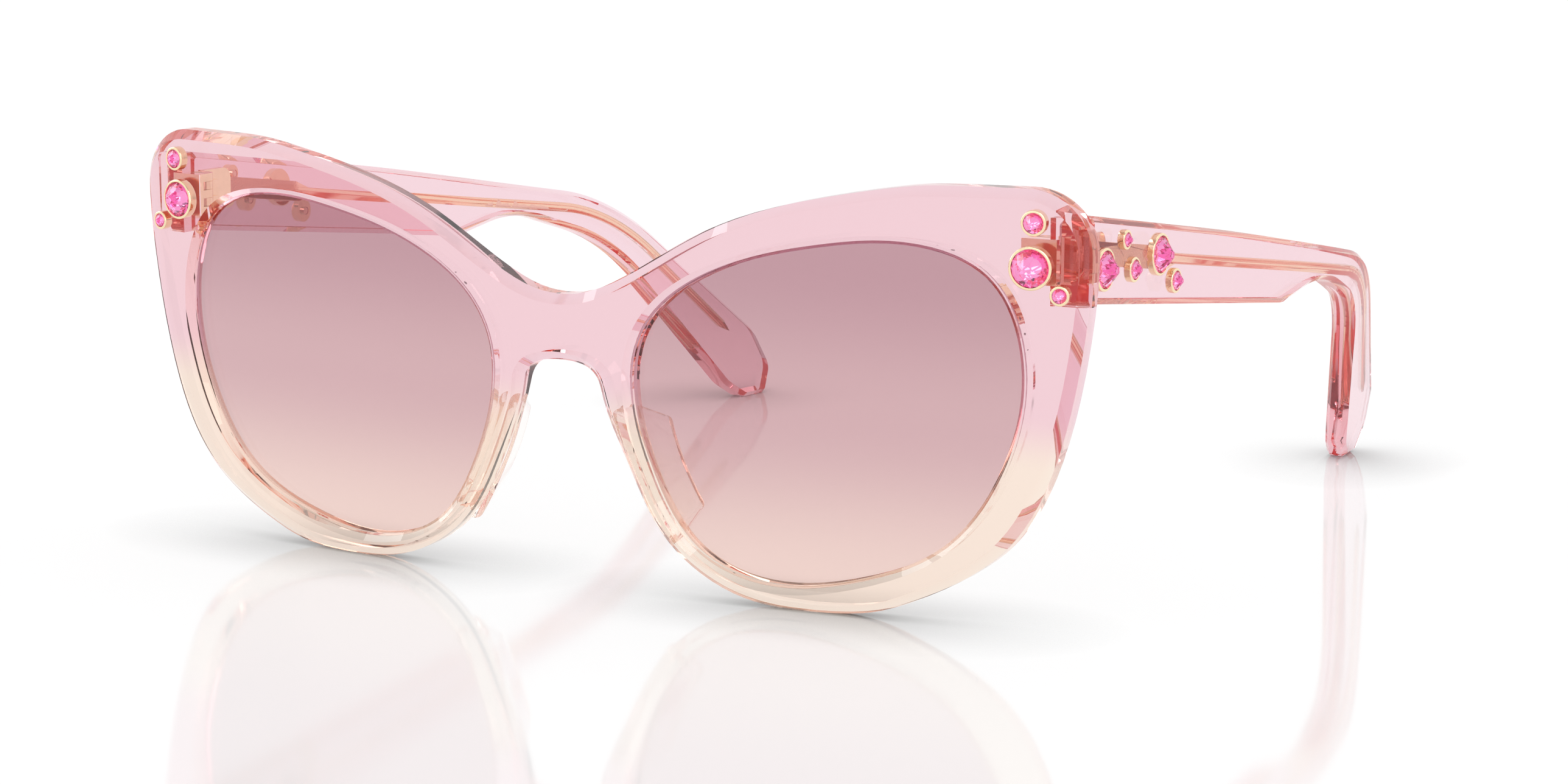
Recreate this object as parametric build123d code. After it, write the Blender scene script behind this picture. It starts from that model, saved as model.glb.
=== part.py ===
from build123d import *
import os
from math import cos, pi, radians, sin, sqrt

# Cat eye sunglasses: an acetate front with two lenses, and two hinged temples with metal
# cores, set with faceted stones in metal bezels. Millimetres. While modelling, x runs across
# the face with the wearer's left at +X, y runs back from the front's face, and z is up from
# the table. At the end the whole set moves back or forward, so that its origin is the middle
# of its footprint on the table.

# ---- driving dimensions: front ----
FACE_RADIUS = 343.0        # radius of the front's wrap around the face
FRONT_THICK = 4.2
FRONT_TILT = 1.72          # degrees that the top of the front leans forward
HALF_WIDTH = 70.9
FRONT_TOP = 54.65
CORNER_RADIUS = 8.0        # round upper outer corner of the cat eye
BRIDGE_TOP = 37.9
NOSE_ARCH_TOP = 29.4
RIM_LOW_X = 34.5           # where each rim touches the table
OUTER_BEVEL = 1.2
INNER_BEVEL = 1.0
OUTER_BACK_BEVEL = 1.0
INNER_BACK_BEVEL = 0.6
FRONT_DROP = 0.1           # lowers the tilted front until its rims touch the table

# ---- driving dimensions: lenses and nose pads ----
LENS_MID_Z = 25.7
LENS_SETBACK = 1.4         # from the front's face to the lens
LENS_THICK = 2.0
GROOVE_DEPTH = 0.6
GROWN_POINTS = 40          # points that carry a moved copy of the opening's edge
SEAT_GAP = 0.02            # room around a part that is glued or pressed into its seat
PAD_REACH = 5.6            # how far a nose pad stands out behind the front
PAD_ROOT = 0.8             # how far a pad reaches down the bevels beside its flat
PAD_WIDE = 3.2
PAD_CREST_WIDE = 2.0
PAD_SPLAY = 0.2            # sideways lean of a pad per millimetre of reach
PAD_FILLET = 0.7

# ---- driving dimensions: lugs and hinges ----
HINGE_X = 63.0
HINGE_Y = 11.6
HINGE_Z = 45.8             # middle of the hinge's height
HINGE_TALL = 5.6
KNUCKLES = 5
KNUCKLE_RADIUS = 1.5
KNUCKLE_GAP = 0.04
BORE_RADIUS = 0.70
SCREW_RADIUS = 0.65
SCREW_HEAD_RADIUS = 1.1
SCREW_HEAD_TALL = 0.5
SCREW_SLOT = 0.3
HEAD_ROOM = 0.05
LEAF_THICK = 1.2
FRONT_LEAF_INNER_X = 61.4
FRONT_LEAF_OUTER_X = 66.0
FRONT_LEAF_Y = 8.75
TEMPLE_LEAF_BACK_Y = 19.2
TEMPLE_LEAF_PROUD = 0.8
LUG_INNER_X = 64.8
LUG_OUTER_X = 69.4
LUG_LOW = 40.4
LUG_TOP = 51.2
LUG_FILLET = 1.0
LEAF_CORNER = 1.6          # round corners at the back of the temple's leaf

# ---- driving dimensions: temples ----
JOINT_GAP = 0.08           # between a lug and the end of its temple
TEMPLE_X = 66.7            # mid-plane of the straight part of a temple
TEMPLE_THICK = 3.8
TIP_THICK = 3.2
TEMPLE_BEVEL = 0.7
TEMPLE_FRONT_TOP = 51.3
TEMPLE_FRONT_LOW = 40.4
CURL_ANGLE = 60.0          # degrees below level of the line that a tip curls inward along
CURL_CORNER = 18.0         # where the curl's two straights would meet, along that line
CURL_SLOPE = 0.28          # inward lean of the tip per millimetre along that line
CURL_RADIUS = 73.0
CURL_FAR = 85.0

# ---- driving dimensions: temple core ----
CORE_SIZE = 1.4
CORE_POINT = 2.0           # length of the wire's pointed end
CORE_PLATE_TALL = 3.0
CORE_PLATE_THICK = 1.0
CORE_PLATE_BACK_Y = 36.0
CORE_START = (15.5, 46.2)  # y, z
CORE_BEND = (114.5, 32.3)
CORE_END = (136.4, 12.0)
CORE_BEND_RADIUS = 36.0

# ---- driving dimensions: stones ----
LARGE = 2.7                # bezel radii
MEDIUM = 1.6
SMALL = 1.25
BEZEL_PROUD = 0.45
BEZEL_SUNK = 1.3
BEZEL_WALL = 0.32
BEZEL_FLOOR = 0.35
BEZEL_ROUND = 0.14
STEM_RADIUS = 0.55
STEM_DEEP = 0.7
CROWN_TALL = 0.74          # the stone's own measures are per unit of its radius
TABLE_RADIUS = 0.22
CROWN_BREAK = 0.62
GIRDLE_TALL = 0.10
CULET_RADIUS = 0.30
PAVILION_TALL = 0.38
STONE_SIDES = 8

# (name, x, z, bezel radius) on the face of the front
FRONT_STONES = (
    ("upper", 64.3, 50.7, MEDIUM),
    ("main", 63.9, 45.2, LARGE),
    ("lower", 67.5, 42.0, SMALL),
)
# (name, y, z, bezel radius) on the outer face of the temple
TEMPLE_STONES = (
    ("first", 16.1, 44.2, LARGE),
    ("high", 22.3, 47.2, SMALL),
    ("middle", 24.8, 43.2, MEDIUM),
    ("main", 32.7, 44.2, LARGE),
    ("low", 37.6, 40.3, MEDIUM),
)

REACH = 170.0              # more than the size of any section being cut
HALF_HINGE = HINGE_TALL / 2
TEMPLE_FRONT_Y = HINGE_Y + JOINT_GAP
OUTER_FACE_X = TEMPLE_X + TEMPLE_THICK / 2
INNER_FACE_X = TEMPLE_X - TEMPLE_THICK / 2
CROSS = Location((0, 0, 0), (90, 0, 0))                  # sketch x, y to x, z, facing -y
SIDE = Plane((0, 0, 0), x_dir=(0, 1, 0), z_dir=(1, 0, 0))  # sketch x, y to y, z


def box(x0, x1, y0, y1, z0, z1):
    size = Box(x1 - x0, y1 - y0, z1 - z0)
    return size.move(Location(((x0 + x1) / 2, (y0 + y1) / 2, (z0 + z1) / 2)))


def both_ways(sketch_in_place):
    return extrude(sketch_in_place, REACH, both=True)


def face_depth(x):
    """How far back the front's face lies at x, from its wrap around the face."""
    return FACE_RADIUS - sqrt(FACE_RADIUS**2 - x**2)


def wrap_radius(edge):
    middle = edge @ 0.5
    return sqrt(middle.X**2 + (FACE_RADIUS - middle.Y) ** 2)


def wrapped_sheet(start, thick):
    """The space between two upright cylinders, start and start + thick behind the face."""
    outer = Cylinder(FACE_RADIUS - start, REACH).move(Location((0, FACE_RADIUS, 0)))
    inner = Cylinder(FACE_RADIUS - start - thick, REACH + 1).move(Location((0, FACE_RADIUS, 0)))
    ahead = box(-REACH, REACH, -1, REACH, -REACH, REACH)
    return (outer - inner) & ahead


def tilted(shape):
    """Leans the upright front forward, about the height of the lens centres."""
    raised = shape.moved(Location((0, 0, -LENS_MID_Z)))
    leaning = raised.moved(Location((0, 0, 0), (FRONT_TILT, 0, 0)))
    return leaning.moved(Location((0, 0, LENS_MID_Z - FRONT_DROP)))


def mirrored(shape):
    return mirror(shape, Plane.YZ)


# ---- front ----
def front_outline():
    """Half of the cat eye outline, as a face from the middle of the bridge outwards."""
    corner_start = (HALF_WIDTH - CORNER_RADIUS, FRONT_TOP)
    corner_end = (HALF_WIDTH, FRONT_TOP - CORNER_RADIUS)
    rim_low = (RIM_LOW_X, 0)
    brow = Spline(
        [(0, BRIDGE_TOP), (8, 40.0), (20, 46.8), (32, 51.2), (46, 54.0), corner_start],
        tangents=[(1, 0), (1, 0)],
    )
    corner = RadiusArc(corner_start, corner_end, CORNER_RADIUS)
    side = Spline(
        [corner_end, (70.0, 36.0), (66.8, 21.5), (60.0, 9.4), (48.0, 2.2), rim_low],
        tangents=[(0, -1), (-1, 0)],
    )
    nose = Spline(
        [rim_low, (24.0, 1.5), (15.2, 7.3), (9.2, 17.8), (6.2, 24.8), (0, NOSE_ARCH_TOP)],
        tangents=[(-1, 0), (-1, 0)],
    )
    middle = Line((0, NOSE_ARCH_TOP), (0, BRIDGE_TOP))
    return make_face([brow, corner, side, nose, middle])


def opening_path():
    """The edge of the lens opening on the wearer's left."""
    return Spline(
        [
            (10.6, 26.5), (13.4, 35.8), (23.0, 42.5), (36.6, 46.2), (48.9, 47.0),
            (58.2, 43.4), (62.3, 34.0), (60.2, 20.5), (52.9, 10.0), (41.5, 4.7),
            (29.5, 3.2), (19.0, 7.2), (12.9, 17.0),
        ],
        periodic=True,
    )


def opening_face(grow=0.0):
    """The opening's face, with its edge moved outwards by grow."""
    path = opening_path()
    if not grow:
        return make_face(path)
    moved = []
    for i in range(GROWN_POINTS):
        along = path % (i / GROWN_POINTS)
        moved.append(path @ (i / GROWN_POINTS) + Vector(-along.Y, along.X) * grow)
    return make_face(Spline(moved, periodic=True))


def lens():
    grown = both_ways(CROSS * opening_face(GROOVE_DEPTH))
    return (grown & wrapped_sheet(LENS_SETBACK, LENS_THICK)).solid()


def lens_groove():
    grown = both_ways(CROSS * opening_face(GROOVE_DEPTH + SEAT_GAP))
    return grown & wrapped_sheet(LENS_SETBACK - SEAT_GAP, LENS_THICK + 2 * SEAT_GAP)


def bevelled_front():
    half = front_outline()
    sheet = both_ways(CROSS * (half + mirror(half, Plane.YZ))) & wrapped_sheet(0, FRONT_THICK)
    opening = both_ways(CROSS * opening_face())
    sheet = (sheet - opening - mirrored(opening)).solid()

    def curved_edges(solid, radius):
        close = (e for e in solid.edges() if abs(wrap_radius(e) - radius) < 0.05)
        return [e for e in close if e.geom_type != GeomType.LINE]

    def around_opening(edge):
        box_of = edge.bounding_box()
        return box_of.min.Z > 1.5 and box_of.max.Z < FRONT_TOP - 5 and edge.length > HALF_WIDTH * 2

    for radius, inner_bevel, outer_bevel in (
        (FACE_RADIUS, INNER_BEVEL, OUTER_BEVEL),
        (FACE_RADIUS - FRONT_THICK, INNER_BACK_BEVEL, OUTER_BACK_BEVEL),
    ):
        inner = [e for e in curved_edges(sheet, radius) if around_opening(e)]
        sheet = sheet.chamfer(inner_bevel, None, inner)
        outer = [e for e in curved_edges(sheet, radius) if not around_opening(e)]
        sheet = sheet.chamfer(outer_bevel, None, outer)
    return sheet


def lug():
    block = box(LUG_INNER_X, LUG_OUTER_X, FRONT_LEAF_Y, HINGE_Y, LUG_LOW, LUG_TOP)
    outer_edges = [e for e in block.edges().filter_by(Axis.Y) if e.center().X > LUG_INNER_X + 1]
    return fillet(outer_edges, LUG_FILLET)


def nose_pad():
    """A pad before it is cut to the rim: wide where it is glued, narrower and splayed at its crest."""
    base_line = ThreePointArc((15.3, 8.2), (11.6, 15.0), (8.6, 23.0))
    crest_line = ThreePointArc((14.4, 11.0), (12.0, 15.4), (10.2, 20.6))
    base = (CROSS * SlotArc(base_line, PAD_WIDE)).moved(Location((0, FRONT_THICK - PAD_ROOT, 0)))
    splay = Location((PAD_SPLAY * PAD_REACH, FRONT_THICK + PAD_REACH, 0))
    crest = (CROSS * SlotArc(crest_line, PAD_CREST_WIDE)).moved(splay)
    body = loft([base.face(), crest.face()])
    return fillet(body.edges().group_by(Axis.Y)[-1], PAD_FILLET)


# ---- stones: local z points out of the acetate, from its surface ----
def ring(radius, height, count, turn=0.0):
    step = 2 * pi / count
    return [
        Vector(radius * cos(step * (i + turn)), radius * sin(step * (i + turn)), height)
        for i in range(count)
    ]


def flat(*points):
    return Face(Wire.make_polygon(points, close=True))


def stone(bezel_radius):
    """A cut stone: table, stars, kites and upper facets over a girdle and a plain pavilion."""
    size = bezel_radius - BEZEL_WALL - SEAT_GAP
    half_step = pi / STONE_SIDES
    girdle_z = BEZEL_PROUD - GIRDLE_TALL * size
    crown_z = girdle_z + CROWN_TALL * size
    inward = (1 - CROWN_BREAK * cos(half_step)) / (1 - TABLE_RADIUS)
    break_z = girdle_z + CROWN_TALL * size * inward
    floor_z = BEZEL_FLOOR - BEZEL_SUNK + SEAT_GAP
    culet_z = max(girdle_z - (GIRDLE_TALL + PAVILION_TALL) * size, floor_z)
    table = ring(TABLE_RADIUS * size, crown_z, STONE_SIDES)
    breaks = ring(CROWN_BREAK * size, break_z, STONE_SIDES, 0.5)
    girdle = ring(size, girdle_z, 2 * STONE_SIDES)
    belt = ring(size, girdle_z - GIRDLE_TALL * size, 2 * STONE_SIDES)
    culet = ring(CULET_RADIUS * size, culet_z, 2 * STONE_SIDES)
    faces = [flat(*table), flat(*culet)]
    for i in range(STONE_SIDES):
        after = (i + 1) % STONE_SIDES
        corner, middle, last = girdle[2 * i], girdle[2 * i + 1], girdle[2 * after]
        faces.append(flat(table[i], breaks[i], table[after]))
        faces.append(flat(table[i], breaks[i - 1], corner, breaks[i]))
        faces.append(flat(breaks[i], corner, middle))
        faces.append(flat(breaks[i], middle, last))
    for i in range(2 * STONE_SIDES):
        faces.append(flat(girdle[i - 1], girdle[i], belt[i], belt[i - 1]))
        faces.append(flat(belt[i - 1], belt[i], culet[i], culet[i - 1]))
    return Solid(Shell(faces))


def bezel(radius):
    """A round cup with a short stem behind it."""
    cup = Cylinder(radius, BEZEL_PROUD + BEZEL_SUNK, align=(Align.CENTER, Align.CENTER, Align.MAX))
    cup = cup.move(Location((0, 0, BEZEL_PROUD)))
    cup = fillet(cup.edges().group_by(Axis.Z)[-1], BEZEL_ROUND)
    hollow = Cylinder(
        radius - BEZEL_WALL,
        BEZEL_PROUD + BEZEL_SUNK - BEZEL_FLOOR,
        align=(Align.CENTER, Align.CENTER, Align.MAX),
    )
    stem = Cylinder(STEM_RADIUS, STEM_DEEP, align=(Align.CENTER, Align.CENTER, Align.MAX))
    stem = fillet(stem.edges().group_by(Axis.Z)[0], BEZEL_ROUND)
    return cup - hollow.move(Location((0, 0, BEZEL_PROUD))) + stem.move(Location((0, 0, -BEZEL_SUNK)))


def bezel_seat(radius):
    """The room that a bezel and its stem take up in the acetate."""
    down = (Align.CENTER, Align.CENTER, Align.MAX)
    up = (Align.CENTER, Align.CENTER, Align.MIN)
    mouth = Cylinder(radius + SEAT_GAP, BEZEL_PROUD, align=up)
    well = Cylinder(radius + SEAT_GAP, BEZEL_SUNK + SEAT_GAP, align=down)
    hole = Cylinder(STEM_RADIUS + SEAT_GAP, BEZEL_SUNK + STEM_DEEP + SEAT_GAP, align=down)
    return mouth + well + hole


def on_face(x, z):
    """Where a stone sits on the upright front: outward is away from the wrap's axis."""
    outward = (x / FACE_RADIUS, (face_depth(x) - FACE_RADIUS) / FACE_RADIUS, 0)
    return Plane((x, face_depth(x), z), x_dir=(0, 0, 1), z_dir=outward).location


def on_temple(y, z):
    return Plane((OUTER_FACE_X, y, z), x_dir=(0, 0, 1), z_dir=(1, 0, 0)).location


# ---- hinge ----
def knuckle_levels(first):
    """The height ranges of every second knuckle, from the bottom."""
    pitch = HINGE_TALL / KNUCKLES
    low = HINGE_Z - HALF_HINGE
    return [
        (low + pitch * i + KNUCKLE_GAP / 2, low + pitch * (i + 1) - KNUCKLE_GAP / 2)
        for i in range(first, KNUCKLES, 2)
    ]


def upright(radius, low, top):
    post = Cylinder(radius, top - low, align=(Align.CENTER, Align.CENTER, Align.MIN))
    return post.move(Location((HINGE_X, HINGE_Y, low)))


def front_leaf():
    leaf = box(
        FRONT_LEAF_INNER_X, FRONT_LEAF_OUTER_X,
        FRONT_LEAF_Y, FRONT_LEAF_Y + LEAF_THICK,
        HINGE_Z - HALF_HINGE, HINGE_Z + HALF_HINGE,
    )
    for low, top in knuckle_levels(0):
        web = box(
            HINGE_X - KNUCKLE_RADIUS, HINGE_X + KNUCKLE_RADIUS,
            FRONT_LEAF_Y + LEAF_THICK / 2, HINGE_Y, low, top,
        )
        leaf = leaf + web + upright(KNUCKLE_RADIUS, low, top)
    leaf = leaf - upright(BORE_RADIUS, HINGE_Z - HINGE_TALL, HINGE_Z + HINGE_TALL)
    head_low = HINGE_Z + HALF_HINGE - SCREW_HEAD_TALL - HEAD_ROOM
    return leaf - upright(SCREW_HEAD_RADIUS + HEAD_ROOM, head_low, HINGE_Z + HINGE_TALL)


def front_leaf_seat():
    low = HINGE_Z - HALF_HINGE - SEAT_GAP
    top = HINGE_Z + HALF_HINGE + SEAT_GAP
    slot = box(
        FRONT_LEAF_INNER_X - SEAT_GAP, FRONT_LEAF_OUTER_X + SEAT_GAP,
        FRONT_LEAF_Y - SEAT_GAP, FRONT_LEAF_Y + LEAF_THICK + SEAT_GAP, low, top,
    )
    mouth = box(
        FRONT_LEAF_INNER_X - SEAT_GAP, HINGE_X + KNUCKLE_RADIUS + KNUCKLE_GAP,
        FRONT_LEAF_Y, HINGE_Y, low, top,
    )
    return slot + mouth


def temple_plate(grow):
    """The flat of the temple's leaf, let into the inner face of the temple."""
    plate = box(
        INNER_FACE_X - TEMPLE_LEAF_PROUD, INNER_FACE_X - TEMPLE_LEAF_PROUD + LEAF_THICK + grow,
        HINGE_Y + KNUCKLE_RADIUS + 0.4 - grow, TEMPLE_LEAF_BACK_Y + grow,
        HINGE_Z - HALF_HINGE - grow, HINGE_Z + HALF_HINGE + grow,
    )
    return fillet(plate.edges().filter_by(Axis.X).group_by(Axis.Y)[-1], LEAF_CORNER)


def temple_leaf():
    leaf = temple_plate(0)
    for low, top in knuckle_levels(1):
        web = box(
            HINGE_X - KNUCKLE_RADIUS / 2, INNER_FACE_X - KNUCKLE_GAP,
            HINGE_Y, HINGE_Y + KNUCKLE_RADIUS + 1.2, low, top,
        )
        leaf = leaf + web + upright(KNUCKLE_RADIUS, low, top)
    return leaf - upright(BORE_RADIUS, HINGE_Z - HINGE_TALL, HINGE_Z + HINGE_TALL)


def hinge_screw():
    top = HINGE_Z + HALF_HINGE
    head_low = top - SCREW_HEAD_TALL - HEAD_ROOM
    shank = upright(SCREW_RADIUS, HINGE_Z - HALF_HINGE, head_low)
    head = upright(SCREW_HEAD_RADIUS, head_low, top - HEAD_ROOM)
    slot = box(
        HINGE_X - SCREW_HEAD_RADIUS, HINGE_X + SCREW_HEAD_RADIUS,
        HINGE_Y - SCREW_SLOT / 2, HINGE_Y + SCREW_SLOT / 2,
        top - SCREW_HEAD_TALL / 2, top,
    )
    return shank + head - slot


# ---- temple ----
def temple_outline():
    """Side view of a temple, as y and z: lower edge, ear bend and angular tip, then upper edge."""
    corners = [
        ((TEMPLE_FRONT_Y, TEMPLE_FRONT_LOW), 1.0),
        ((76.0, 32.6), 8.0),
        ((90.5, 34.7), 30.0),
        ((112.7, 27.8), 30.0),
        ((133.9, 2.6), 5.0),
        ((138.0, 0.0), 2.5),
        ((143.6, 0.0), 1.2),
        ((146.3, 4.2), 3.0),
        ((144.0, 10.1), 5.0),
        ((114.6, 34.7), 42.0),
        ((57.0, 44.5), 900.0),
        ((TEMPLE_FRONT_Y, TEMPLE_FRONT_TOP), 1.2),
    ]
    points = [point for point, _ in corners]
    radii = [radius for _, radius in corners]
    return make_face(FilletPolyline(*points, radius=radii, close=True))


def curled_sheet(half_straight, half_tip):
    """The space that a temple's thickness takes up: flat, then curling in towards the head."""
    along = Vector(0, cos(radians(CURL_ANGLE)), -sin(radians(CURL_ANGLE)))
    plan = Plane((0, 0, 0), x_dir=along, z_dir=along.cross(Vector(1, 0, 0)))
    tip_x = TEMPLE_X - (CURL_FAR - CURL_CORNER) * CURL_SLOPE
    outer = FilletPolyline(
        (-CURL_FAR, TEMPLE_X + half_straight), (CURL_CORNER, TEMPLE_X + half_straight),
        (CURL_FAR, tip_x + half_tip), radius=[CURL_RADIUS + half_straight],
    )
    inner = FilletPolyline(
        (-CURL_FAR, TEMPLE_X - half_straight), (CURL_CORNER, TEMPLE_X - half_straight),
        (CURL_FAR, tip_x - half_tip), radius=[CURL_RADIUS - half_straight],
    )
    ends = [Line(outer @ 0, inner @ 0), Line(outer @ 1, inner @ 1)]
    return both_ways(plan * make_face([outer, inner, *ends]))


def temple_blank():
    blank = both_ways(SIDE * temple_outline()) & curled_sheet(TEMPLE_THICK / 2, TIP_THICK / 2)
    return blank.solid()


def core_path():
    return FilletPolyline(CORE_START, CORE_BEND, CORE_END, radius=[CORE_BEND_RADIUS])


def core():
    """A flat plate behind the stones, and a wire that follows the ear bend to a point."""
    path = core_path()
    wire = trace(path, line_width=CORE_SIZE)
    tip_way = (path % 1) * CORE_POINT
    across = Vector(-tip_way.Y, tip_way.X) * (CORE_SIZE / 2 / CORE_POINT)
    end = path @ 1
    point = make_face(Polyline(end + across, end + tip_way, end - across, close=True))
    wire = both_ways(SIDE * (wire + point)) & curled_sheet(CORE_SIZE / 2, CORE_SIZE / 2)
    fall = (CORE_BEND[1] - CORE_START[1]) / (CORE_BEND[0] - CORE_START[0])
    back_y = CORE_PLATE_BACK_Y
    back_z = CORE_START[1] + fall * (back_y - CORE_START[0])
    taper_z = back_z + fall * CORE_PLATE_TALL
    half = CORE_PLATE_TALL / 2
    plate = make_face(
        Polyline(
            (CORE_START[0], CORE_START[1] - half), (back_y, back_z - half),
            (back_y + CORE_PLATE_TALL, taper_z - CORE_SIZE / 2),
            (back_y + CORE_PLATE_TALL, taper_z + CORE_SIZE / 2),
            (back_y, back_z + half), (CORE_START[0], CORE_START[1] + half), close=True,
        )
    )
    plate = both_ways(SIDE * plate) & curled_sheet(CORE_PLATE_THICK / 2, CORE_PLATE_THICK / 2)
    return wire, plate


def front_pieces():
    """What stays with the front: one-off pieces, then those of the wearer's left side."""
    groove = lens_groove()
    frame = bevelled_front() - groove - mirrored(groove)
    whole = {}
    for side, pad in (("left", nose_pad()), ("right", mirrored(nose_pad()))):
        above_rim = (pad - frame).solids().sort_by(SortBy.VOLUME)[-1]
        whole[f"nose_pad_{side}"] = tilted(above_rim)
    left = {"lens": tilted(lens())}
    for name, x, z, radius in FRONT_STONES:
        place = on_face(x, z)
        seat = bezel_seat(radius).moved(place)
        frame = frame - seat - mirrored(seat)
        left[f"front_bezel_{name}"] = tilted(bezel(radius).moved(place))
        left[f"front_stone_{name}"] = tilted(stone(radius).moved(place))
    frame = tilted(frame)
    frame = frame + lug() + mirrored(lug())
    seat = front_leaf_seat()
    whole["front_frame"] = frame - seat - mirrored(seat)
    left["hinge_front_leaf"] = front_leaf()
    left["hinge_screw"] = hinge_screw()
    return whole, left


def temple_pieces():
    """The pieces of the wearer's left temple, unfolded."""
    blank = temple_blank()
    rims = [e for e in blank.edges() if abs((e.tangent_at(0.5)).X) < 0.9]
    blank = blank.chamfer(TEMPLE_BEVEL, None, rims)
    wire, plate = core()
    metal = wire + plate
    blank = blank - metal - temple_plate(SEAT_GAP)
    pieces = {"hinge_temple_leaf": temple_leaf()}
    for name, y, z, radius in TEMPLE_STONES:
        place = on_temple(y, z)
        seat = bezel_seat(radius).moved(place)
        blank = blank - seat
        metal = metal - seat
        pieces[f"temple_bezel_{name}"] = bezel(radius).moved(place)
        pieces[f"temple_stone_{name}"] = stone(radius).moved(place)
    pieces["temple"] = blank
    pieces["temple_core"] = metal
    return pieces


def main():
    pieces, left = front_pieces()
    left.update(temple_pieces())
    for name, shape in left.items():
        pieces[f"{name}_left"] = shape
        pieces[f"{name}_right"] = mirrored(shape)
    bounds = Compound(list(pieces.values())).bounding_box()
    to_origin = Location((0, -(bounds.min.Y + bounds.max.Y) / 2, -bounds.min.Z))
    os.makedirs("parts", exist_ok=True)
    for name, shape in pieces.items():
        export_step(shape.moved(to_origin), f"parts/{name}.step")


main()
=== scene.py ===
"""Looks for the cat eye sunglasses: clear acetate, gradient lenses, gold metal and cut stones, in a
white studio. Metres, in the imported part's frame: +X is the wearer's left, +Y runs back, +Z is up."""

import math

import bmesh
import bpy
from mathutils import Matrix, Vector
from mathutils.bvhtree import BVHTree


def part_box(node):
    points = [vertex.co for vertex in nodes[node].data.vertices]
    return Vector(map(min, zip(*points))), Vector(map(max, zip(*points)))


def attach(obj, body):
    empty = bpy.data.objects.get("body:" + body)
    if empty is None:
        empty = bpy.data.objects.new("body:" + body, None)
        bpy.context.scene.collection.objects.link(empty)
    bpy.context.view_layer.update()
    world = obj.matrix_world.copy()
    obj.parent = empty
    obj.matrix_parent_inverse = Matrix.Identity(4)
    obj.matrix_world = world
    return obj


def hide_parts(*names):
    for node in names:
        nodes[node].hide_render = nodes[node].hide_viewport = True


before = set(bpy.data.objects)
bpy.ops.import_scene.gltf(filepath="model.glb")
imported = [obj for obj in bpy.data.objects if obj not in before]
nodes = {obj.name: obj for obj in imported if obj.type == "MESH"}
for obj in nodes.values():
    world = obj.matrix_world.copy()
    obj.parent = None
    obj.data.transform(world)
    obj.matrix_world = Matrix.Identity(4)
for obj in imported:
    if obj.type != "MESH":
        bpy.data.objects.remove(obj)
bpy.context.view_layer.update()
PLATE_LONG = 0.0205       # the flat plate at the front of each core, before its drawn wire
PLATE_END_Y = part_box("temple_core_left")[0][1] + PLATE_LONG
FRONT_TALL = 0.0547       # heights that the tints of the acetate and of the lenses spread over
LENS_TOP = 0.05
SHARP_ANGLE = math.radians(22)

FRONT = "front_assembly"
TEMPLE_BODY = {"left": "left_temple_assembly", "right": "right_temple_assembly"}
FRONT_STONES = ("upper", "main", "lower")
TEMPLE_STONES = ("first", "high", "middle", "main", "low")


# ---- materials ----
def new_material(name):
    material = bpy.data.materials.new(name)
    material.use_nodes = True
    tree = material.node_tree
    return material, tree, tree.nodes["Principled BSDF"], tree.nodes["Material Output"]


def node(tree, kind, **settings):
    made = tree.nodes.new(kind)
    for key, value in settings.items():
        setattr(made, key, value)
    return made


def link(tree, a, b):
    tree.links.new(a, b)


def place(tree):
    """Object coordinates: the same metres as the part's frame."""
    return node(tree, "ShaderNodeTexCoord").outputs["Object"]


def height(tree):
    axes = node(tree, "ShaderNodeSeparateXYZ")
    link(tree, place(tree), axes.inputs[0])
    return axes.outputs["Z"]


def fill_ramp(ramp, stops):
    """Gives a ramp its stops, each (place, colour), from low to high."""
    elements = ramp.color_ramp.elements
    elements[0].position, elements[0].color = stops[0][0], (*stops[0][1], 1)
    elements[1].position, elements[1].color = stops[-1][0], (*stops[-1][1], 1)
    for at, colour in stops[1:-1]:
        elements.new(at).color = (*colour, 1)


def by_height(tree, stops, top):
    """A colour that changes with height: stops are (share of the way up to top, colour)."""
    share = node(tree, "ShaderNodeMapRange")
    link(tree, height(tree), share.inputs["Value"])
    share.inputs["From Max"].default_value = top
    ramp = node(tree, "ShaderNodeValToRGB")
    ramp.color_ramp.interpolation = "EASE"
    fill_ramp(ramp, stops)
    link(tree, share.outputs["Result"], ramp.inputs["Fac"])
    return ramp.outputs["Color"]


def noise(tree, scale, detail=2.0):
    texture = node(tree, "ShaderNodeTexNoise")
    texture.inputs["Scale"].default_value = scale
    texture.inputs["Detail"].default_value = detail
    link(tree, place(tree), texture.inputs["Vector"])
    return texture.outputs["Fac"]


def bump(tree, shader, source, distance):
    """Bumps the shader by the source. Gives back the socket that takes the strength."""
    bumps = node(tree, "ShaderNodeBump")
    bumps.inputs["Distance"].default_value = distance
    link(tree, source, bumps.inputs["Height"])
    link(tree, bumps.outputs["Normal"], shader.inputs["Normal"])
    return bumps.inputs["Strength"]


def ranged(tree, source, low, top):
    span = node(tree, "ShaderNodeMapRange")
    link(tree, source, span.inputs["Value"])
    span.inputs["To Min"].default_value = low
    span.inputs["To Max"].default_value = top
    return span.outputs["Result"]


def mix(tree, share, one, other):
    """One colour where share is 0 and the other where it is 1. Each is a socket or a plain tuple."""
    made = node(tree, "ShaderNodeMix", data_type="RGBA")
    link(tree, share, made.inputs["Factor"])
    for end, colour in (("A", one), ("B", other)):
        if isinstance(colour, tuple):
            made.inputs[end].default_value = (*colour, 1)
        else:
            link(tree, colour, made.inputs[end])
    return made.outputs["Result"]


def clouded(tree, shader, scale, one, other):
    """Gives the shader a base colour that drifts between two tones."""
    link(tree, mix(tree, noise(tree, scale), one, other), shader.inputs["Base Color"])


LONG_PATH = 9             # a ray that has met more surfaces than this takes a fixed painted glow instead
LENS_EDGE_LEVEL = 0.6     # a lens face that looks along Y less than this is its cut edge, painted dark as shade


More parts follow.
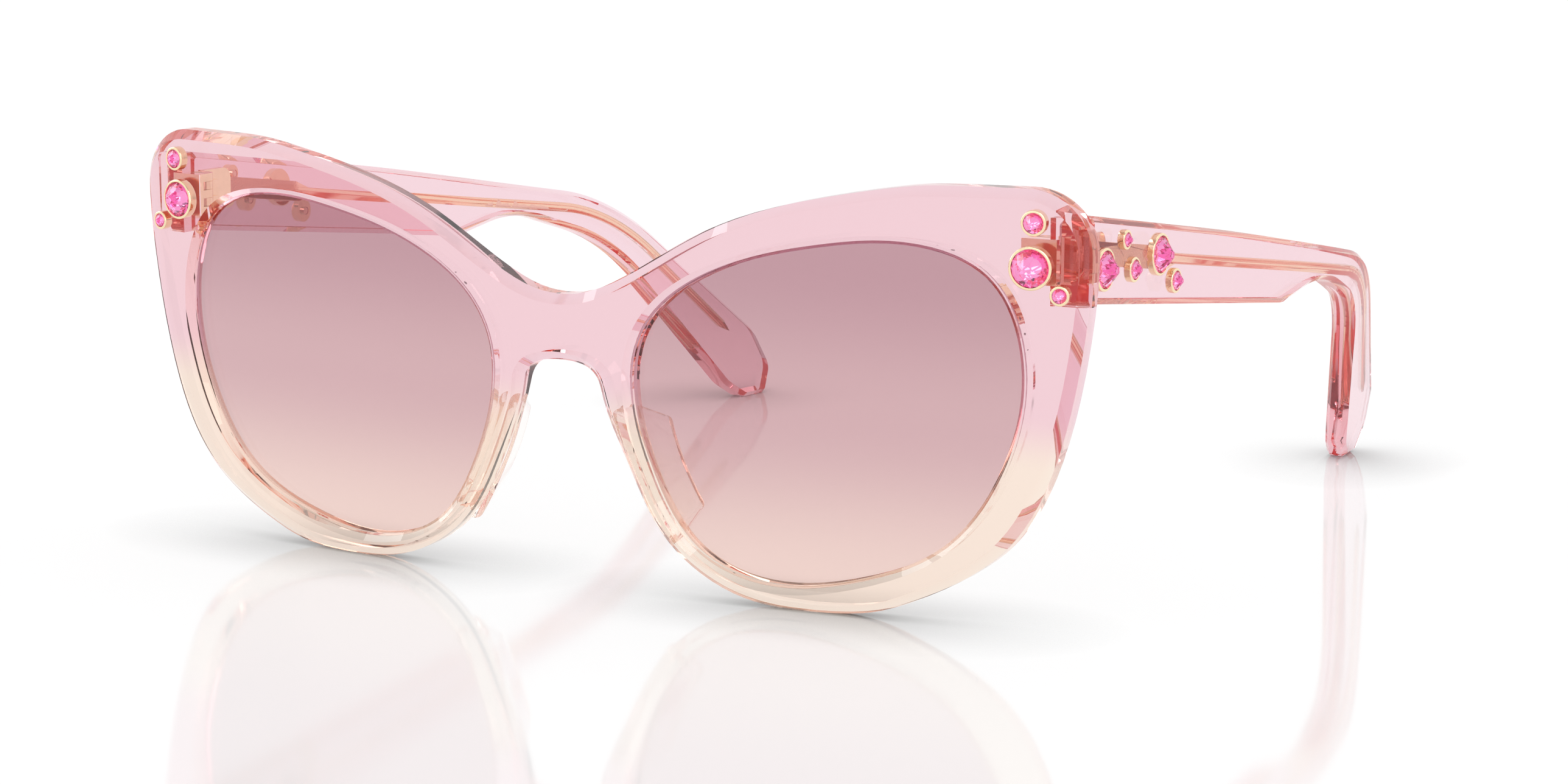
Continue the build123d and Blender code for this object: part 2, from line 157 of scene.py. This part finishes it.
def acetate(name, stops, absorb, density, painted_glow_stops):
    """Clear acetate that tints what passes through it, with a painted glow where a ray's path is long: a
    fixed emission stands in for the light that such a path would carry.
    """
    material, tree, shader, out = new_material(name)
    shader.inputs["Transmission Weight"].default_value = 1
    shader.inputs["IOR"].default_value = 1.47
    link(tree, by_height(tree, stops, FRONT_TALL), shader.inputs["Base Color"])
    link(tree, ranged(tree, noise(tree, 400), 0.0, 0.02), shader.inputs["Roughness"])
    volume = node(tree, "ShaderNodeVolumeAbsorption")
    volume.inputs["Color"].default_value = (*absorb, 1)
    volume.inputs["Density"].default_value = density
    link(tree, volume.outputs[0], out.inputs["Volume"])
    is_long = node(tree, "ShaderNodeMath", operation="GREATER_THAN")
    link(tree, node(tree, "ShaderNodeLightPath").outputs["Ray Depth"], is_long.inputs[0])
    is_long.inputs[1].default_value = LONG_PATH
    # painted light: a fixed emission, coloured by height, for rays with long paths inside the acetate
    glow = node(tree, "ShaderNodeEmission")
    link(tree, by_height(tree, painted_glow_stops, FRONT_TALL), glow.inputs["Color"])
    choice = node(tree, "ShaderNodeMixShader")
    link(tree, is_long.outputs[0], choice.inputs[0])
    link(tree, shader.outputs[0], choice.inputs[1])
    link(tree, glow.outputs[0], choice.inputs[2])
    link(tree, choice.outputs[0], out.inputs["Surface"])
    return material


def lens_tint(name):
    material, tree, shader, _ = new_material(name)
    shader.inputs["Transmission Weight"].default_value = 1
    shader.inputs["IOR"].default_value = 1.5
    shader.inputs["Roughness"].default_value = 0
    lying = node(tree, "ShaderNodeSeparateXYZ")
    link(tree, node(tree, "ShaderNodeNewGeometry").outputs["True Normal"], lying.inputs[0])
    sideways = node(tree, "ShaderNodeMath", operation="ABSOLUTE")
    link(tree, lying.outputs["Y"], sideways.inputs[0])
    painted_edge_shade = node(tree, "ShaderNodeMath", operation="LESS_THAN")
    link(tree, sideways.outputs[0], painted_edge_shade.inputs[0])
    painted_edge_shade.inputs[1].default_value = LENS_EDGE_LEVEL
    stops = [(0.06, (0.87, 0.655, 0.60)), (0.5, (0.64, 0.41, 0.43)), (0.88, (0.52, 0.295, 0.336))]
    # painted shade: the lens's cut edge takes a near-black base colour in place of the shade seen there
    tint = mix(tree, painted_edge_shade.outputs[0], by_height(tree, stops, LENS_TOP), (0.07, 0.06, 0.06))
    link(tree, tint, shader.inputs["Base Color"])
    return material


def gold(name, colour, rough, grain_scale, grain):
    material, tree, shader, _ = new_material(name)
    shader.inputs["Metallic"].default_value = 1
    clouded(tree, shader, 900, colour, tuple(c * 0.86 for c in colour))
    link(tree, ranged(tree, noise(tree, grain_scale), rough * 0.7, rough * 1.3), shader.inputs["Roughness"])
    if grain:
        bump(tree, shader, noise(tree, grain_scale, 4), 0.00005).default_value = grain
    return material


def cut_glass(name):
    material, tree, shader, _ = new_material(name)
    shader.inputs["Transmission Weight"].default_value = 1
    shader.inputs["IOR"].default_value = 1.6
    shader.inputs["Roughness"].default_value = 0
    clouded(tree, shader, 700, (1.0, 0.90, 0.96), (1.0, 0.80, 0.90))
    return material


def foil(name):
    """The mirrored back of a cut stone, seen through its crown."""
    material, tree, shader, _ = new_material(name)
    shader.inputs["Metallic"].default_value = 1
    shader.inputs["Roughness"].default_value = 0.07
    clouded(tree, shader, 900, (1.0, 0.44, 0.75), (0.95, 0.30, 0.60))
    return material


FINISH_FADE = 0.0008      # half of the stretch over which a core's plate turns into its wire


def core_gold(name):
    """Rose gold that is sandblasted on the plate and drawn bright on the wire behind it."""
    material, tree, shader, _ = new_material(name)
    shader.inputs["Metallic"].default_value = 1
    axes = node(tree, "ShaderNodeSeparateXYZ")
    link(tree, place(tree), axes.inputs[0])
    drawn = node(tree, "ShaderNodeMapRange")
    link(tree, axes.outputs["Y"], drawn.inputs["Value"])
    drawn.inputs["From Min"].default_value = PLATE_END_Y - FINISH_FADE
    drawn.inputs["From Max"].default_value = PLATE_END_Y + FINISH_FADE
    share = drawn.outputs["Result"]
    grain = noise(tree, 5200, 4)
    link(tree, mix(tree, share, (1.0, 0.70, 0.52), (1.0, 0.80, 0.56)), shader.inputs["Base Color"])
    rough = node(tree, "ShaderNodeMix", data_type="FLOAT")
    link(tree, share, rough.inputs["Factor"])
    link(tree, ranged(tree, grain, 0.25, 0.5), rough.inputs["A"])
    rough.inputs["B"].default_value = 0.1
    link(tree, rough.outputs["Result"], shader.inputs["Roughness"])
    link(tree, ranged(tree, share, 0.9, 0.0), bump(tree, shader, grain, 0.00012))
    return material


PINK_ABSORB = (0.95, 0.52, 0.40)
ROSE_ABSORB = (0.95, 0.50, 0.52)
CREAM, BLUSH, WARM_WHITE = (0.95, 0.895, 0.80), (0.89, 0.695, 0.78), (0.85, 0.74, 0.66)
# WARM_WHITE and DEEP_ORANGE colour only the painted glow of long paths, not the acetate itself
DEEP_ORANGE = (0.80, 0.21, 0.13)
front_mat = acetate(
    "front_acetate", [(0.36, CREAM), (0.50, BLUSH)], PINK_ABSORB, 62,
    [(0.45, WARM_WHITE), (0.72, DEEP_ORANGE)],
)
temple_mat = acetate(
    "temple_acetate", [(0, (0.91, 0.79, 0.85)), (1, (0.92, 0.80, 0.86))], ROSE_ABSORB, 80,
    [(0.5, (0.78, 0.26, 0.30)), (0.75, DEEP_ORANGE)],
)
pad_mat = acetate(
    "pad_acetate", [(0.25, (0.99, 0.98, 0.95)), (0.6, (0.98, 0.91, 0.93))], PINK_ABSORB, 12,
    [(0, WARM_WHITE), (1, WARM_WHITE)],
)
lens_mat = lens_tint("tinted_lens")
bezel_mat = gold("bezel_gold", (1.0, 0.81, 0.53), 0.12, 2500, 0.0)
hinge_mat = gold("hinge_gold", (1.0, 0.84, 0.58), 0.16, 2500, 0.05)
core_mat = core_gold("core_gold")
crystal_mat = cut_glass("cut_stone")
foil_mat = foil("stone_foil")


def dress(name, material):
    slots = nodes[name].data.materials
    slots.clear()
    slots.append(material)


for side in ("left", "right"):
    dress(f"lens_{side}", lens_mat)
    dress(f"nose_pad_{side}", pad_mat)
    dress(f"hinge_front_leaf_{side}", hinge_mat)
    dress(f"hinge_temple_leaf_{side}", hinge_mat)
    dress(f"hinge_screw_{side}", hinge_mat)
    for name in FRONT_STONES:
        dress(f"front_bezel_{name}_{side}", bezel_mat)
    for name in TEMPLE_STONES:
        dress(f"temple_bezel_{name}_{side}", bezel_mat)


# ---- acetate that wets the metal cast into it ----
SEAT_REACH = 0.00007     # a seat's wall lies nearer than this to its metal
SEAT_INSET = 0.00012     # and is drawn this far inside it


def tree_of(thing):
    mesh = thing.data
    return BVHTree.FromPolygons([v.co for v in mesh.vertices], [p.vertices for p in mesh.polygons])


def replaced(name, material, body, wet_by=()):
    """A copy of a CAD node to work on. Where it lines a buried piece, it moves just inside the metal."""
    mesh = nodes[name].data.copy()
    trees = [tree_of(nodes[b]) for b in wet_by]
    for vertex in mesh.vertices:
        hits = [t.find_nearest(vertex.co, SEAT_REACH) for t in trees]
        hits = [h for h in hits if h[0] is not None]
        if hits:
            near = min(hits, key=lambda h: h[3])
            vertex.co = near[0] - near[1] * SEAT_INSET
    mesh.materials.clear()
    mesh.materials.append(material)
    thing = bpy.data.objects.new(name + "_skin", mesh)
    bpy.context.scene.collection.objects.link(thing)
    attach(thing, body)
    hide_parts(name)
    return thing


FACE_RADIUS = 0.343       # the front's wrap about an upright axis, leaned by its tilt
FRONT_THICK = 0.0042
FACE_TILT = math.radians(1.72)
FACE_Y = -0.0728096       # the face at its middle, at the height that it leans about
TILT_Z = 0.0256
FACE_SLACK = 0.00012      # how far a corner may lie off a wrapped face and still belong to it
FACE_LEVEL = 0.985        # and how nearly its triangle must lie along that face
FOIL_TURN = -0.15         # a stone's facet that points outward less than this is mirrored


def even_face(thing):
    """Gives the front's two wrapped faces their true normals, so that long triangles don't show."""
    mesh = thing.data
    mesh.shade_smooth()
    mesh.set_sharp_from_angle(angle=SHARP_ANGLE)
    lean = Matrix.Rotation(FACE_TILT, 3, "X")
    pivot = Vector((0, FACE_Y, TILT_Z))
    normals = [Vector((0, 0, 0))] * len(mesh.loops)
    for face in mesh.polygons:
        for loop in face.loop_indices:
            spot = lean.inverted() @ (mesh.vertices[mesh.loops[loop].vertex_index].co - pivot)
            out = Vector((spot.x, spot.y - FACE_RADIUS, 0))
            depth = FACE_RADIUS - out.length
            out = lean @ out.normalized()
            on_front = abs(depth) < FACE_SLACK and out.dot(face.normal) > FACE_LEVEL
            on_back = abs(depth - FRONT_THICK) < FACE_SLACK and out.dot(face.normal) < -FACE_LEVEL
            if on_front or on_back:
                normals[loop] = out if on_front else -out
    mesh.normals_split_custom_set(normals)


front_metal = [f"front_bezel_{n}_{s}" for n in FRONT_STONES for s in ("left", "right")]
front_skin = replaced("front_frame", front_mat, FRONT, front_metal)
even_face(front_skin)
for side in ("left", "right"):
    metal = [f"temple_core_{side}"] + [f"temple_bezel_{n}_{side}" for n in TEMPLE_STONES]
    skin = replaced(f"temple_{side}", temple_mat, TEMPLE_BODY[side], metal)
    skin.data.shade_smooth()
    skin.data.set_sharp_from_angle(angle=SHARP_ANGLE)


# ---- cores: a flat blasted plate, then drawn wire whose corners shade round ----
for side in ("left", "right"):
    core = replaced(f"temple_core_{side}", core_mat, TEMPLE_BODY[side])
    work = bmesh.new()
    work.from_mesh(core.data)
    bmesh.ops.remove_doubles(work, verts=work.verts, dist=1e-7)
    for face in work.faces:
        face.smooth = face.calc_center_median().y > PLATE_END_Y
    work.to_mesh(core.data)
    work.free()


# ---- cut stones: clear crowns over a mirrored back ----
def foiled(name, body):
    """The stone's own cut, with the facets that point into the cup silvered."""
    stone = replaced(name, crystal_mat, body)
    mesh = stone.data
    mesh.materials.append(foil_mat)
    mesh.shade_flat()
    low, high = (Vector(c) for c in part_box(name))
    middle = (low + high) / 2
    outward = Vector((math.copysign(1, middle.x), 0, 0))
    if name.startswith("front"):
        outward = Matrix.Rotation(FACE_TILT, 3, "X") @ Vector((middle.x / FACE_RADIUS, -1, 0)).normalized()
    for face in mesh.polygons:
        face.material_index = int(face.normal.dot(outward) < FOIL_TURN)


for side in ("left", "right"):
    for name in FRONT_STONES:
        foiled(f"front_stone_{name}_{side}", FRONT)
    for name in TEMPLE_STONES:
        foiled(f"temple_stone_{name}_{side}", TEMPLE_BODY[side])


# ---- studio ----
SKY = (1.06, 1.06, 1.06)
WHITE, GREY, DARK = (1.0, 1.0, 1.0), (0.45, 0.42, 0.42), (0.12, 0.10, 0.11)
SKY_AHEAD = (-0.48, 0.86, 0.15)     # where the sky's ramps end, about where the camera looks
PATCH_FADE = (0.64, 0.82)           # how steeply upward a direction is where the grey patch fades in


def sky_ramp(tree, ahead, stops):
    """A colour that runs from behind the camera, at 0, to ahead of it, at 1."""
    ramp = node(tree, "ShaderNodeValToRGB")
    span = node(tree, "ShaderNodeMapRange")
    span.inputs["From Min"].default_value = -1
    link(tree, ahead, span.inputs["Value"])
    link(tree, span.outputs["Result"], ramp.inputs["Fac"])
    fill_ramp(ramp, stops)
    return ramp.outputs["Color"]


def sky(scene):
    """White for the camera and the floor, a grey patch for mirrors, a dark band for clear things."""
    world = bpy.data.worlds.new("studio")
    scene.world = world
    world.use_nodes = True
    tree = world.node_tree
    direction = node(tree, "ShaderNodeTexCoord").outputs["Generated"]
    forward = node(tree, "ShaderNodeVectorMath", operation="DOT_PRODUCT")
    link(tree, direction, forward.inputs[0])
    forward.inputs[1].default_value = SKY_AHEAD
    ahead = forward.outputs["Value"]
    mirrored = sky_ramp(tree, ahead, [(0.0, GREY), (0.40, GREY), (0.62, WHITE), (1.0, WHITE)])
    band = [(0.0, WHITE), (0.42, WHITE), (0.44, DARK), (0.485, DARK), (0.505, WHITE), (1.0, WHITE)]
    through = sky_ramp(tree, ahead, band)
    path = node(tree, "ShaderNodeLightPath")
    plain = node(tree, "ShaderNodeMath", operation="MAXIMUM")
    link(tree, path.outputs["Is Camera Ray"], plain.inputs[0])
    link(tree, path.outputs["Is Diffuse Ray"], plain.inputs[1])
    up = node(tree, "ShaderNodeSeparateXYZ")
    link(tree, direction, up.inputs[0])
    high = node(tree, "ShaderNodeMapRange")
    high.inputs["From Min"].default_value, high.inputs["From Max"].default_value = PATCH_FADE
    link(tree, up.outputs["Z"], high.inputs["Value"])
    seen = mix(tree, high.outputs["Result"], SKY, mirrored)
    seen = mix(tree, path.outputs["Is Transmission Ray"], seen, through)
    seen = mix(tree, plain.outputs[0], seen, SKY)
    link(tree, seen, tree.nodes["Background"].inputs["Color"])


def lamp(scene, unlit, name, at, aim, wide, tall, glow, on_floor=False):
    light = bpy.data.lights.new(name, "AREA")
    light.shape = "RECTANGLE"
    light.size, light.size_y, light.energy = wide, tall, glow * math.pi * wide * tall
    thing = bpy.data.objects.new(name, light)
    scene.collection.objects.link(thing)
    thing.location = at
    thing.rotation_euler = (Vector(aim) - Vector(at)).to_track_quat("-Z", "Y").to_euler()
    thing.visible_diffuse = on_floor
    thing.light_linking.receiver_collection = unlit


def lamps(scene):
    """Four soft boxes. Gives back the collection of things that they don't light."""
    unlit = bpy.data.collections.new("not_lit_by_cards")
    middle = (0, 0, 0.03)
    lamp(scene, unlit, "top_box", (0.0, 0.1, 0.8), (0, 0, 0), 0.5, 0.4, 0.5, on_floor=True)
    lamp(scene, unlit, "key_box", (0.5, -0.45, 0.5), middle, 0.3, 0.4, 3)
    lamp(scene, unlit, "side_box", (-0.6, -0.2, 0.3), middle, 0.2, 0.5, 3)
    lamp(scene, unlit, "low_box", (0.1, -0.8, 0.05), middle, 0.5, 0.15, 2)
    return unlit


FLOOR_HALF = 6.0
FLOOR_GLOW = 1.12
GLOW_SHARE = 0.72         # the floor's own glow, against plain white paint
MIRROR_SHARE = 0.30
CONTACT_REACH = 0.018     # how far from a thing its contact shadow reaches


def floor_material():
    """Partly glowing white under a faint mirror, with a painted contact shadow: the glow darkens close to
    what stands on it, while the plain white paint is shaded by real light.
    """
    material, tree, shader, out = new_material("floor")
    shader.inputs["Base Color"].default_value = (0.97, 0.97, 0.97, 1)
    shader.inputs["Roughness"].default_value = 1
    shader.inputs["Specular IOR Level"].default_value = 0
    glow = node(tree, "ShaderNodeEmission")
    glow.inputs["Strength"].default_value = FLOOR_GLOW
    # painted shadow: ambient occlusion darkens the floor's glow close to the frame
    near = node(tree, "ShaderNodeAmbientOcclusion", samples=8)
    near.inputs["Distance"].default_value = CONTACT_REACH
    deepen = node(tree, "ShaderNodeGamma")
    deepen.inputs["Gamma"].default_value = 1.3
    link(tree, near.outputs["Color"], deepen.inputs["Color"])
    link(tree, deepen.outputs["Color"], glow.inputs["Color"])
    soft = node(tree, "ShaderNodeMixShader")
    soft.inputs[0].default_value = GLOW_SHARE
    link(tree, shader.outputs[0], soft.inputs[1])
    link(tree, glow.outputs[0], soft.inputs[2])
    mirror = node(tree, "ShaderNodeBsdfGlossy")
    mirror.inputs["Roughness"].default_value = 0.07
    gloss = node(tree, "ShaderNodeMixShader")
    gloss.inputs[0].default_value = MIRROR_SHARE
    link(tree, soft.outputs[0], gloss.inputs[1])
    link(tree, mirror.outputs[0], gloss.inputs[2])
    link(tree, gloss.outputs[0], out.inputs["Surface"])
    return material


def lay_floor(scene, unlit):
    mesh = bpy.data.meshes.new("floor")
    corners = [(FLOOR_HALF * x, FLOOR_HALF * y, 0) for x, y in ((-1, -1), (1, -1), (1, 1), (-1, 1))]
    mesh.from_pydata(corners, [], [(0, 1, 2, 3)])
    floor = bpy.data.objects.new("floor", mesh)
    scene.collection.objects.link(floor)
    mesh.materials.append(floor_material())
    unlit.objects.link(floor)
    unlit.collection_objects[0].light_linking.link_state = "EXCLUDE"


def studio():
    scene = bpy.context.scene
    scene.view_settings.view_transform = "Standard"
    scene.cycles.max_bounces = 24
    scene.cycles.transmission_bounces = 24
    scene.cycles.glossy_bounces = 12
    sky(scene)
    lay_floor(scene, lamps(scene))


CAMERA_AT = (0.2678, -0.4935, 0.1104)
CAMERA_YAW = math.radians(29.15)
CAMERA_PITCH = math.radians(9.68)
CAMERA_ROLL = math.radians(0.43)
FOCAL_LENGTH, SENSOR_WIDTH = 90.99, 36      # millimetres


def photo_camera():
    """Looks from ahead and a little above, from the wearer's left."""
    flat = math.cos(CAMERA_PITCH)
    ahead = Vector((-math.sin(CAMERA_YAW) * flat, math.cos(CAMERA_YAW) * flat, -math.sin(CAMERA_PITCH)))
    across = Vector((math.cos(CAMERA_YAW), math.sin(CAMERA_YAW), 0))
    up = across.cross(ahead)
    right = across * math.cos(CAMERA_ROLL) + up * math.sin(CAMERA_ROLL)
    top = up * math.cos(CAMERA_ROLL) - across * math.sin(CAMERA_ROLL)
    data = bpy.data.cameras.new("camera")
    data.lens, data.sensor_width = FOCAL_LENGTH, SENSOR_WIDTH
    data.clip_start, data.clip_end = 0.01, 20
    camera = bpy.data.objects.new("camera", data)
    bpy.context.scene.collection.objects.link(camera)
    turn = Matrix((right, top, -ahead)).transposed().to_4x4()
    camera.matrix_world = Matrix.Translation(CAMERA_AT) @ turn
    bpy.context.scene.camera = camera


studio()
photo_camera()
